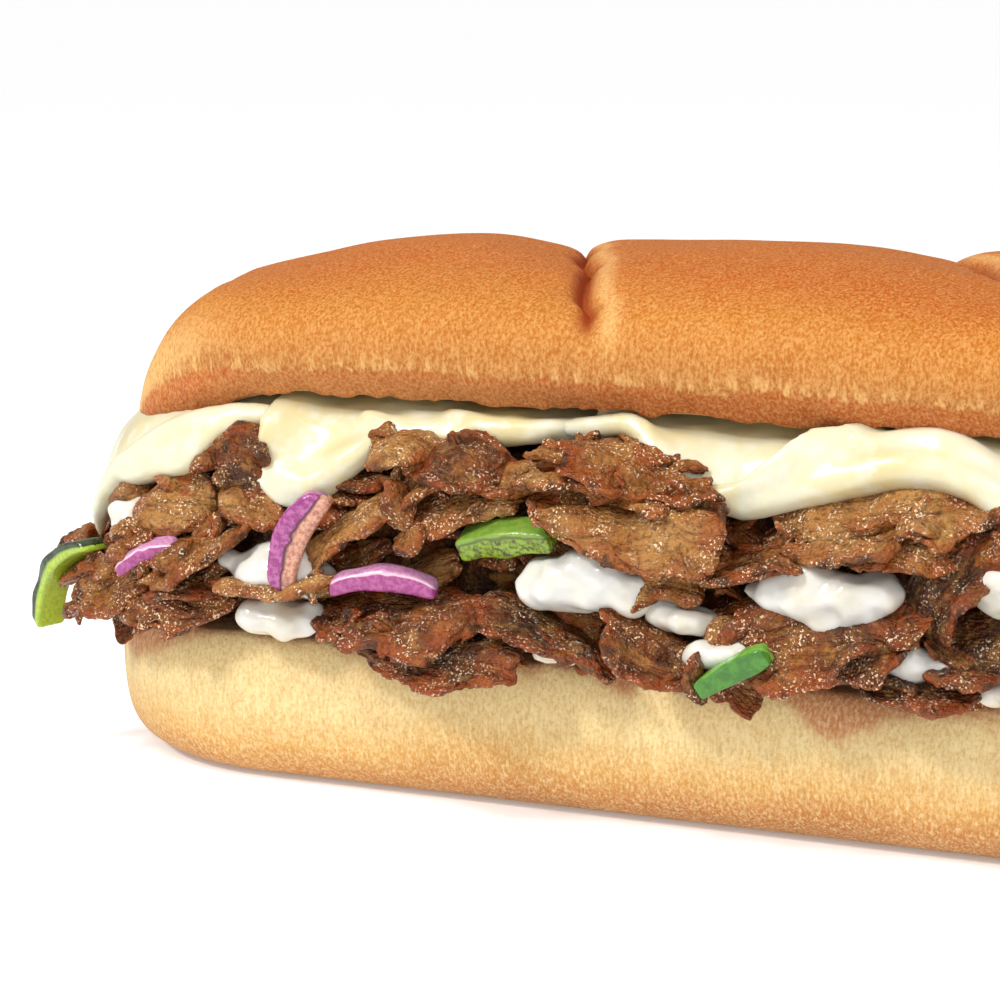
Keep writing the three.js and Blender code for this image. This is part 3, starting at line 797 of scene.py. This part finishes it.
far_slices = ruled_slices()
lay_steak("steak_shown_left", SHOWN_SLICES[:16], 1, SLICE_THICKNESS, 0.8, SHOWN_TONES[:16])
lay_steak("steak_shown_right", SHOWN_SLICES[16:], 17, SLICE_THICKNESS, 0.85, SHOWN_TONES[16:])
lay_steak("steak_far", far_slices, 33, SLICE_THICKNESS, 1.15)
flap_tones = [max(0.0, SHOWN_TONES[i // 4] + 0.3 * draw(i) - 0.15) for i in range(4 * len(SHOWN_SLICES))]
lay_steak("steak_flaps", flaps(SHOWN_SLICES, 4, 8), 601, 1.7, 0.8, flap_tones)
lay_steak("steak_lumps", SHOWN_SCRAPS, 801, 3.2, 0.7, SCRAP_TONES)


def small_slices(count, seed, long, wide, near):
    """Smaller scraps that fill the heap between the slices, round all its sides and under the cheese."""
    luck = np.random.default_rng(seed)
    rows = []
    for _ in range(count):
        x = luck.uniform(-146, 146)
        side = luck.choice([-1, 1])
        full = float(end_round(np.array(x), FILL_LENGTH, 44))
        y = side * full * (near + luck.uniform(-1.2, 1.2))
        lean = math.degrees(math.atan2(abs(x) - 106, 44)) if abs(x) > 106 else 0
        turn = 90 + 90 * side + side * math.copysign(lean, x)
        z = luck.uniform(28.5, min(54 - 3 * side, 57 - 18 * float(smooth(95, 146, abs(x)))))
        size = luck.uniform(*long), luck.uniform(*wide)
        rows.append((x, y, z, *size, luck.uniform(5, 65), luck.uniform(-30, 30), 1, turn))
    return rows


lay_steak("steak_scraps_a", small_slices(90, 5, (11, 20), (7, 12), 35.5), 101, 2.4, 1.25)
lay_steak("steak_scraps_b", small_slices(90, 6, (9, 17), (6, 10), 36), 201, 2.4, 1.25)
lay_steak("steak_bits", small_slices(260, 7, (3.5, 8), (2.5, 5), 36.5), 301, 1.9, 0.9)


def end_slices(count, seed):
    """Scraps that cover both ends of the heap."""
    luck = np.random.default_rng(seed)
    rows = []
    for number in range(count):
        end = (-1, 1)[number % 2]
        y, z = luck.uniform(-27, 27), luck.uniform(29, 53)
        x = end * (146.5 - 0.007 * y * y + luck.uniform(-1.5, 0.5))
        size = luck.uniform(9, 18), luck.uniform(6, 11)
        rows.append((x, y, z, *size, luck.uniform(10, 65), luck.uniform(-30, 30), 1, end * (90 + 1.5 * y)))
    return rows


lay_steak("steak_ends", end_slices(72, 9), 901, 2.4, 1.1)

# Melted cheese
# Soft white cheese, melted over the steak in overlapping sheets: smooth and glossy, thick and rounded where
# it hangs. Solidify gives each its thickness, Remesh and Smooth its soft edges. A sheet's front and back are
# the heights of its two edges along x, far is an edge in degrees round the heap, and ropes are its folds.
CHEESE_THICKNESS = 2.4
CHEESE_MOST = 8
CHEESE_WHITE = (0.69, 0.66, 0.48)
CHEESE_CREAM = (0.66, 0.57, 0.31)
CHEESE_LIGHT = (0.71, 0.7, 0.57)


def along(pairs, x):
    """The value at x of a smooth curve through pairs of (x, value)."""
    marks, values = np.array(pairs, float).T
    slopes = np.gradient(values, marks)
    x = np.clip(x, marks[0], marks[-1])
    i = np.clip(np.searchsorted(marks, x) - 1, 0, len(marks) - 2)
    run = marks[i + 1] - marks[i]
    t = (x - marks[i]) / run
    a, b = values[i], values[i + 1]
    p, q = slopes[i] * run, slopes[i + 1] * run
    return (
        (2 * t**3 - 3 * t**2 + 1) * a
        + (t**3 - 2 * t**2 + t) * p
        + (-2 * t**3 + 3 * t**2) * b
        + (t**3 - t**2) * q
    )


def angle_at_height(x, z):
    full = end_round(x, FILL_LENGTH + 2 * CHEESE_THICKNESS, FILL_END)
    reach = (FILL_HALF_HEIGHT + CHEESE_THICKNESS) * np.maximum(full, 0.05) ** 0.7
    part = np.clip((z - FILL_MIDDLE) / reach, -1, 1)
    return np.degrees(np.arcsin(signed_power(part, 1.5)))


def cheese_material():
    material, add = shader(
        "melted_cheese",
        Roughness=0.3,
        Subsurface_Weight=0.35,
        Subsurface_Radius=(1.0, 0.7, 0.35),
        Subsurface_Scale=0.0025,
        Coat_Weight=0.25,
        Coat_Roughness=0.12,
    )
    colour = mixed(add, grey(add, cloud(add, 14, 3), 0.4, 0.62), CHEESE_WHITE, CHEESE_CREAM)
    colour = mixed(add, grey(add, cloud(add, 4, 3), 0.5, 0.75), colour, CHEESE_LIGHT)
    return linked(material, Base_Color=colour, Normal=bump(add, cloud(add, 2.6, 2), 0.0005, 0.25))


melted_cheese = cheese_material()
cheese_folds = rough_texture("cheese_folds", 9, 1)


def rope(rows):
    """A rounded fold of cheese that follows rows of x, y, z and radius."""
    marks = np.linspace(0, 1, len(rows))

    def path(s):
        return points(*(along(list(zip(marks, values)), s) for values in zip(*rows)))

    def place(u, v):
        s = (u + 1) / 2
        row = path(s)
        way = path(np.clip(s + 0.01, 0, 1))[:, :3] - path(np.clip(s - 0.01, 0, 1))[:, :3]
        way /= np.linalg.norm(way, axis=1)[:, None]
        out = np.tile([0.0, -1.0, 0.0], (len(u), 1))
        side = np.cross(way, out)
        radius = (row[:, 3] * np.sqrt(1 - np.abs(u) ** 8 * 0.96))[:, None]
        round_it = np.cos(v * math.pi)[:, None] * out + np.sin(v * math.pi)[:, None] * side
        return row[:, :3] + radius * round_it

    piece = grid("rope", 14 * len(rows), 16, place)
    close_skin(piece)
    return piece


def cheese_sheet(name, front, ropes, back=None, far=None, lip=0.0):
    low, high = front[0][0], front[-1][0]
    first = name == "cheese_1"
    reach = high + (0 if name == "cheese_6" else 4)
    weights = []

    def place(u, v):
        x = low + (reach - low) * (u + 1) / 2
        hang = along(front, x) + 0.5 * lumps(points(x, 0 * x, 0 * x), 4.5, 41)
        start = angle_at_height(x, hang)
        finish = along(far, x) if far else 180 - angle_at_height(x, along(back, x))
        t = (v + 1) / 2
        across = t - 0.1 * np.sin(2 * math.pi * t)
        degrees = start + (finish - start) * across
        bead = 1.2 * np.exp(-((np.minimum(across, 1 - across) / 0.1) ** 2))
        thick = CHEESE_THICKNESS + 0.5 + bead + lip * (1 - smooth(40, 72, degrees))
        over = 0 if first else 1.7 * (1 - smooth(low, low + 9, x))
        if far:
            over = np.maximum(over, 2.2 * smooth(0.55, 1, across) * (1 - smooth(0, 8, x)))
        under = 1.2 * smooth(high - 4, reach, x)
        spots = fill_point(x, degrees, 0.4 + over - under)
        full = end_round(x, FILL_LENGTH + 8, 60)
        shoulder = np.exp(-(((spots[:, 2] - 63) / 4) ** 2)) * smooth(6, 22, np.abs(spots[:, 1]))
        spots[:, 1] += np.sign(spots[:, 1]) * 4.5 * shoulder * full
        swell = 0.8 * lumps(spots, 15, 42) + 0.35 * lumps(spots, 6.5, 43)
        out = spots - points(x, 0 * x, 0 * x + FILL_MIDDLE)
        out /= np.maximum(1, np.linalg.norm(out, axis=1))[:, None]
        weights.append(np.clip(thick / CHEESE_MOST, 0.05, 1))
        return spots + out * (swell * full)[:, None]

    sheet = grid(name + "_melted", max(20, round((reach - low) / 0.9)), 100, place)
    solidify(sheet, weights[0], CHEESE_MOST, 1)
    sheet = join([sheet] + [rope(rows) for rows in ropes], sheet.name)
    apply_new(sheet, "REMESH", mode="VOXEL", voxel_size=0.0007)
    apply_new(sheet, "SMOOTH", factor=0.5, iterations=14)
    apply_new(sheet, "DISPLACE", texture=cheese_folds, strength=0.0012, texture_coords="LOCAL")
    bpy.ops.object.shade_smooth()
    sheet.data.materials.append(melted_cheese)
    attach(sheet, "root")
    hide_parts(name)


cheese_sheet(
    "cheese_1",
    front=[(-149, 37), (-144, 41), (-138, 47), (-133, 50.5), (-125, 53.5), (-120, 59), (-112, 62)],
    back=[(-149, 46), (-140, 50), (-128, 56), (-112, 60)],
    ropes=[
        [(-149, -24, 38, 1.5), (-146, -29, 44, 1.9), (-141, -32, 51, 2.2), (-134, -33, 56.5, 2.5)]
        + [(-127, -34, 60, 2.8), (-117, -34, 62.5, 3), (-107, -34, 64, 3)],
        [(-139, -34, 51, 1.5), (-131, -36, 54, 2.2), (-125, -37, 55.5, 2.4), (-120, -36, 60, 2.2)]
        + [(-112, -35, 63, 2)],
    ],
)
cheese_sheet(
    "cheese_2",
    front=[(-110.5, 54), (-107, 50.5), (-102, 50), (-96, 53.5), (-89, 60), (-75, 62), (-54, 64)],
    back=[(-111.5, 60), (-90, 50), (-75, 55), (-54, 62)],
    ropes=[
        [(-107.5, -36, 60, 2.4), (-105.5, -38, 55.5, 3), (-101, -39, 53, 3.2), (-96, -38.5, 56, 3)]
        + [(-91, -37, 60, 2.6), (-87, -34, 63, 2)],
        [(-94, -33, 65, 2), (-87, -34.5, 63, 2.6), (-80, -34.5, 62.8, 2.6), (-74, -33, 65, 2)],
        [(-79, -32, 66, 1.8), (-72, -34, 63.8, 2.5), (-65, -34, 63.8, 2.4), (-57, -33, 65, 1.8)],
    ],
)
cheese_sheet(
    "cheese_3",
    front=[(-53.5, 64.3), (-46, 64.3), (-40, 61), (-34, 57.5), (-25, 56), (-15, 58), (-6, 60)],
    back=[(-53.5, 62), (-30, 49), (-6, 61)],
    ropes=[
        [(-62, -32, 64.5, 1.5), (-53, -33, 65.2, 1.8), (-46, -34, 66, 2.2), (-42, -35.5, 63, 2.4)]
        + [(-38, -37, 60, 2.2), (-32, -37.5, 58.5, 2)],
    ],
)
cheese_sheet(
    "cheese_4",
    front=[(-34, 55.5), (-26, 53.5), (-17, 56.5), (-8, 58), (8, 63), (15, 57.5), (24, 53), (46, 63)],
    far=[(-34, 23), (-25, 34), (-16, 48), (-8, 60), (-3, 90), (5, 150), (14, 168), (28, 172)]
    + [(46, 150)],
    lip=1.4,
    ropes=[
        [(-33, -38, 56, 2), (-26, -39, 56, 3), (-18, -38.5, 58.5, 3.4), (-9, -37.5, 61, 3.4)]
        + [(0, -37, 62.5, 3.4), (9, -37, 61, 3.2), (16, -38, 57, 3), (24, -38.5, 54.5, 3)],
        [(-25, -36, 59.5, 1.8), (-15, -35, 62.5, 2.6), (-5, -34, 65, 3), (5, -34, 65.5, 3)]
        + [(14, -35, 62, 2.6)],
    ],
)
cheese_sheet(
    "cheese_5",
    front=[(46.5, 63), (56, 58), (66, 51), (75, 55), (86, 61), (97, 63)],
    back=[(46.5, 61), (60, 56), (80, 49), (97, 60)],
    ropes=[
        [(50, -35, 62, 2), (58, -37, 59, 2.8), (66, -38.5, 54.5, 3.2), (75, -38, 57.5, 3)]
        + [(85, -35, 62.5, 2.4)],
    ],
)
cheese_sheet(
    "cheese_6",
    front=[(97.5, 63), (107, 57), (114, 52), (124, 56), (134, 52), (143, 47), (149, 43)],
    back=[(97.5, 60), (112, 54), (130, 57), (141, 50), (149, 45)],
    ropes=[
        [(101, -35, 63, 2.2), (108, -37, 59, 2.8), (115, -38, 55.5, 3), (125, -36, 58, 2.8)]
        + [(134, -34, 54.5, 2.6), (142, -30, 49.5, 2.2), (148, -25, 44.5, 1.6)],
    ],
)

# White sauce
# Thick creamy sauce, squeezed between the slices in glossy dollops. Each is a cluster of lumps melted into
# one skin by Remesh and Smooth. A row gives its x, y and z and how far it reaches from there each way.
SAUCE_WHITE = (0.68, 0.67, 0.63)
SAUCE_CREAM = (0.64, 0.59, 0.47)
DOLLOP_LUMPS = 7
DOLLOPS = [
    (-135.5, -36.5, 44.5, 4, 5.5, 4),
    (-105.5, -41.5, 39.7, 11, 5, 5),
    (-105.5, -41, 31.2, 10.5, 5, 4.6),
    (-51, -42.7, 42, 13.3, 5.5, 6),
    (-55, -43, 30.5, 6, 4.5, 2.6),
    (-34.5, -42, 37.7, 8.5, 4.5, 3.2),
    (-28, -44, 32.6, 6, 4.5, 3.6),
    (-12, -43, 43, 16, 5.5, 5.5),
    (1.5, -42, 33.8, 7, 5, 3.9),
    (15.5, -42, 47, 7, 5, 5),
    (17.5, -41.5, 30.7, 7, 4.5, 3),
    (48, -42.5, 39, 14, 5.5, 5),
    (86, -42.5, 33, 10, 5, 4.5),
    (116, -42, 44, 12, 5.5, 5),
    (-98, 42, 38, 13, 5.5, 5),
    (-36, 42.5, 44, 12, 5.5, 5.5),
    (24, 42, 34, 11, 5.5, 4.5),
    (92, 42.5, 40, 14, 5.5, 5),
]


def sauce_material():
    material, add = shader(
        "white_sauce",
        Roughness=0.26,
        Subsurface_Weight=0.3,
        Subsurface_Radius=(1.0, 0.85, 0.6),
        Subsurface_Scale=0.0015,
        Coat_Weight=0.4,
        Coat_Roughness=0.08,
    )
    colour = mixed(add, grey(add, cloud(add, 6, 3), 0.4, 0.7), SAUCE_WHITE, SAUCE_CREAM)
    return linked(material, Base_Color=colour, Normal=bump(add, cloud(add, 1.8, 2), 0.0004, 0.25))


white_sauce = sauce_material()
sauce_folds = rough_texture("sauce_folds", 5, 1)


def ball(centre, radii):
    bpy.ops.mesh.primitive_ico_sphere_add(subdivisions=3, radius=1)
    piece = bpy.context.object
    size = Matrix.Diagonal((*(r * MM for r in radii), 1))
    piece.data.transform(Matrix.Translation(Vector(centre) * MM) @ size)
    return piece


for number, (x, y, z, long, deep, high) in enumerate(DOLLOPS, 1):
    luck = np.random.default_rng(100 + number)
    parts = [ball((x, y, z), (long * 0.72, deep * 0.85, high * 0.78))]
    for k in range(DOLLOP_LUMPS):
        angle = 2 * math.pi * (k + luck.uniform(-0.45, 0.45)) / DOLLOP_LUMPS
        reach = luck.uniform(0.5, 0.9)
        r = high * luck.uniform(0.3, 0.6)
        spot = (
            x + math.cos(angle) * reach * (long - r * 0.7),
            y + luck.uniform(-0.12, 0.25) * deep,
            z + math.sin(angle) * reach * (high - r * 0.5),
        )
        parts.append(ball(spot, (r * luck.uniform(1, 1.9), min(r * 1.3, deep * 0.8), r)))
    dollop = join(parts, f"sauce_{number}_dollop")
    apply_new(dollop, "REMESH", mode="VOXEL", voxel_size=0.0006)
    apply_new(dollop, "SMOOTH", factor=0.5, iterations=16)
    apply_new(dollop, "DISPLACE", texture=sauce_folds, strength=0.0028, texture_coords="LOCAL")
    apply_new(dollop, "SMOOTH", factor=0.5, iterations=5)
    bpy.ops.object.shade_smooth()
    dollop.data.materials.append(white_sauce)
    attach(dollop, "root")
    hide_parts(f"sauce_{number}")

# Red onion and green pepper
# Strips cut from an onion ring and a pepper's wall: one side is skin, the rest the cut flesh. Each is a skin
# wrapped round a rounded bar, drawn in at both ends. A row gives its x, y and z, its length, height and
# thickness, and how it is turned about x, y and z.
ONION_BOW = 0.11
TOP_PEEL = (0.5, 0, 0.9)
ONION_PEEL = (0.75, -0.3, -0.7)
EVEN_PEEL = (-0.1, 0, 0.9)
FRONT_PEEL = (0, -0.9, -0.4)
ONION_STRIPS = [
    (-100, -45, 45.5, 18, 6, 4, 15, -66, 0),
    (-85, -44, 39.3, 18, 3.8, 4, 10, -2, 8),
    (-129, -43.5, 40.5, 12, 2.8, 4, 20, -24, 0),
    (40, -43.5, 50, 18, 3.4, 4, 10, -14, 5),
    (101, -43.5, 52, 17, 3.4, 4, 5, 20, -5),
    (-116, 44, 47, 18, 3.4, 4, 0, 12, 180),
    (4, 44, 52, 18, 3.4, 4, 0, -15, 176),
    (66, 44, 35, 16, 3.4, 4, 10, 20, 184),
]
PEPPER_STRIPS = [
    (-151, -33, 33, 22, 3.2, 6, 0, -48, -24),
    (-64, -42.5, 48, 17, 4.8, 4.8, 28, -10, -8),
    (-24.4, -48.5, 31.4, 13.5, 3.8, 3.2, 12, -32, -6),
    (74, -44, 40, 18, 4.6, 3.2, 0, 24, 4),
    (128, -42, 34, 17, 4.6, 3.2, 5, -10, -4),
    (-66, 44, 34, 18, 4.8, 3.2, 0, 18, 178),
    (46, 44, 50, 17, 4.6, 3.2, 0, -8, 184),
    (120, 43.5, 51, 16, 4.6, 3.2, 5, 22, 180),
]
PEPPER_BOWS = (0.2, 0.03, 0.02, 0.1, 0.08, 0.1, 0.06, 0.1)


def strip(name, row, bow, peel, seed, corner=0.45):
    """A bowed strip. peel says which of its sides are skin: a start, and its growth along (y, z). The less
    its corner, the sharper its edges."""
    x, y, z, length, height, thickness, *about = row
    marks = {}

    def place(u, v):
        run = np.sin(u * math.pi / 2) * 0.6 + u * 0.4
        wide = signed_power(np.cos(v * math.pi), corner)
        tall = signed_power(np.sin(v * math.pi), corner)
        blunt = (1 - np.abs(run) ** (9 / corner)) ** (1 / 3)
        taper = (1 - 0.22 * run * run) * blunt
        local = points(
            run * length / 2,
            wide * thickness / 2 * (0.25 + 0.75 * blunt) * (blunt > 0),
            bow * length * (0.5 - run * run) + tall * height / 2 * taper,
        )
        local += 0.3 * lumps(local + [0, 0, seed * 7], 4, 51)[:, None] * points(0 * u, wide, tall)
        marks["skin"] = peel[0] + wide * peel[1] + tall * peel[2] + 0.12 * lumps(local, 1.2, 52)
        return local @ np.array(turned(*about)).T + [x, y, z]

    piece = grid(name, 60, 40, place, marks)
    close_skin(piece)
    return piece


def vegetable(name, skin, flesh, seam, gloss, blister_size=1.6):
    """Skin and cut flesh, each in its own colour and that of its marks, and the line where they meet."""
    material, add = shader(
        name,
        Roughness=gloss,
        Subsurface_Weight=0.15,
        Subsurface_Scale=0.001,
        Coat_Weight=0.3,
        Coat_Roughness=0.1,
    )
    side = mark(add, "skin")
    blister = grey(add, cloud(add, blister_size, 4, 0.65), 0.44, 0.58)
    streak = grey(add, cloud(add, 0.7, 3, 0.6), 0.4, 0.65)
    outer = mixed(add, blister, *skin)
    inner = mixed(add, streak, *flesh)
    colour = mixed(add, grey(add, side, 0.3, 0.45), inner, seam)
    colour = mixed(add, grey(add, side, 0.5, 0.6), colour, outer)
    return linked(material, Base_Color=colour, Normal=bump(add, cloud(add, 1.0, 3), 0.0004, 0.5))


red_onion = vegetable(
    "red_onion",
    skin=[(0.3, 0.035, 0.18), (0.42, 0.09, 0.28)],
    flesh=[(0.62, 0.3, 0.47), (0.5, 0.18, 0.38)],
    seam=(0.7, 0.5, 0.56),
    gloss=0.25,
    blister_size=0.8,
)
cut_onion = vegetable(
    "cut_onion",
    skin=[(0.26, 0.03, 0.17), (0.42, 0.11, 0.3)],
    flesh=[(0.66, 0.34, 0.22), (0.36, 0.13, 0.1)],
    # The near-black seam is painted shade of the groove between skin and cut flesh.
    seam=(0.09, 0.01, 0.03),
    gloss=0.25,
    blister_size=0.9,
)
pepper_charred = vegetable(
    "pepper_charred",
    skin=[(0.2, 0.32, 0.04), (0.13, 0.26, 0.03)],
    flesh=[(0.26, 0.42, 0.03), (0.05, 0.03, 0.008)],
    seam=(0.1, 0.14, 0.02),
    gloss=0.3,
    blister_size=2.4,
)
pepper_dark = vegetable(
    "pepper_dark",
    skin=[(0.03, 0.05, 0.01), (0.01, 0.012, 0.006)],
    flesh=[(0.4, 0.5, 0.03), (0.24, 0.4, 0.03)],
    seam=(0.16, 0.26, 0.02),
    gloss=0.3,
)
pepper_bright = vegetable(
    "pepper_bright",
    skin=[(0.03, 0.15, 0.008), (0.06, 0.22, 0.015)],
    flesh=[(0.2, 0.42, 0.06), (0.1, 0.34, 0.03)],
    seam=(0.05, 0.2, 0.02),
    gloss=0.22,
)

for number, row in enumerate(ONION_STRIPS, 1):
    piece = strip(f"onion_{number}_strip", row, ONION_BOW, TOP_PEEL if number == 1 else ONION_PEEL, number)
    piece.data.materials.append(cut_onion if number == 1 else red_onion)
    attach(piece, "root")
    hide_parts(f"onion_{number}")

for number, row in enumerate(PEPPER_STRIPS, 1):
    if number == 1:
        peel, flesh = TOP_PEEL, pepper_dark
    elif number % 2 == 0:
        peel, flesh = EVEN_PEEL, pepper_charred
    else:
        peel, flesh = FRONT_PEEL, pepper_bright
    piece = strip(f"pepper_{number}_strip", row, PEPPER_BOWS[number - 1], peel, 10 + number, 0.25)
    piece.data.materials.append(flesh)
    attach(piece, "root")
    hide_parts(f"pepper_{number}")

# Stage
# A plain white floor, a key light from the upper left, a broad weaker one from the right, and two small soft
# boxes that give the wet meat its glints.
VIEW_AZIMUTH = 21.7
VIEW_ELEVATION = 11.0
VIEW_DISTANCE = 457
VIEW_TARGET = (-75.1, -17.7, 49.0)
LENS, SENSOR_WIDTH = 97.2, 36
STUDIO_GLOW = 0.42
FLOOR_REACH = 60000
FLOOR_DROP = 0.2
GLINT_TARGET = (-0.06, 0, 0.045)
GLINT_DISTANCE = 0.8
GLINT_SIZE = 0.12
SUNS = (("key_light", -38, 42, 1.6, 9), ("front_light", 28, 16, 0.75, 50))
GLINTS = (("glint_left", -30, 55, 2.4), ("glint_right", 55, 50, 1.4))

floor = grid("floor", 2, 2, lambda u, v: points(u * FLOOR_REACH, v * FLOOR_REACH, 0 * u - FLOOR_DROP))
floor_white = shader(
    "floor_white",
    Base_Color=(0.95, 0.95, 0.95, 1),
    Emission_Color=(1, 1, 1, 1),
    Emission_Strength=0.2,
    Roughness=0.9,
    Specular_IOR_Level=0.0,
)[0]
floor.data.materials.append(floor_white)

world = bpy.data.worlds.new("studio")
bpy.context.scene.world = world
world.use_nodes = True
world.node_tree.nodes["Background"].inputs["Color"].default_value = (1, 1, 1, 1)
world.node_tree.nodes["Background"].inputs["Strength"].default_value = STUDIO_GLOW
bpy.context.scene.view_settings.view_transform = "Standard"


def hang(data, azimuth, elevation, target=(0, 0, 0), distance=0):
    """Hangs a lamp or the camera round the sandwich, turned to a target in metres."""
    turn, rise = math.radians(azimuth), math.radians(elevation)
    away = Vector((math.sin(turn) * math.cos(rise), -math.cos(turn) * math.cos(rise), math.sin(rise)))
    hung = bpy.data.objects.new(data.name, data)
    bpy.context.collection.objects.link(hung)
    hung.location = Vector(target) + away * distance
    hung.rotation_euler = (math.radians(90 - elevation), 0, turn)
    return hung


def lamp(name, kind, power):
    light = bpy.data.lights.new(name, kind)
    light.energy = power
    return light


for name, azimuth, elevation, power, spread in SUNS:
    sun = lamp(name, "SUN", power)
    sun.angle = math.radians(spread)
    hang(sun, azimuth, elevation)

for name, azimuth, elevation, power in GLINTS:
    box = lamp(name, "AREA", power)
    box.size = GLINT_SIZE
    hang(box, azimuth, elevation, GLINT_TARGET, GLINT_DISTANCE)

eye = bpy.data.cameras.new("camera")
eye.lens = LENS
eye.sensor_width = SENSOR_WIDTH
eye.clip_end = 200
camera = hang(eye, VIEW_AZIMUTH, VIEW_ELEVATION, Vector(VIEW_TARGET) * MM, VIEW_DISTANCE * MM)
bpy.context.scene.camera = camera
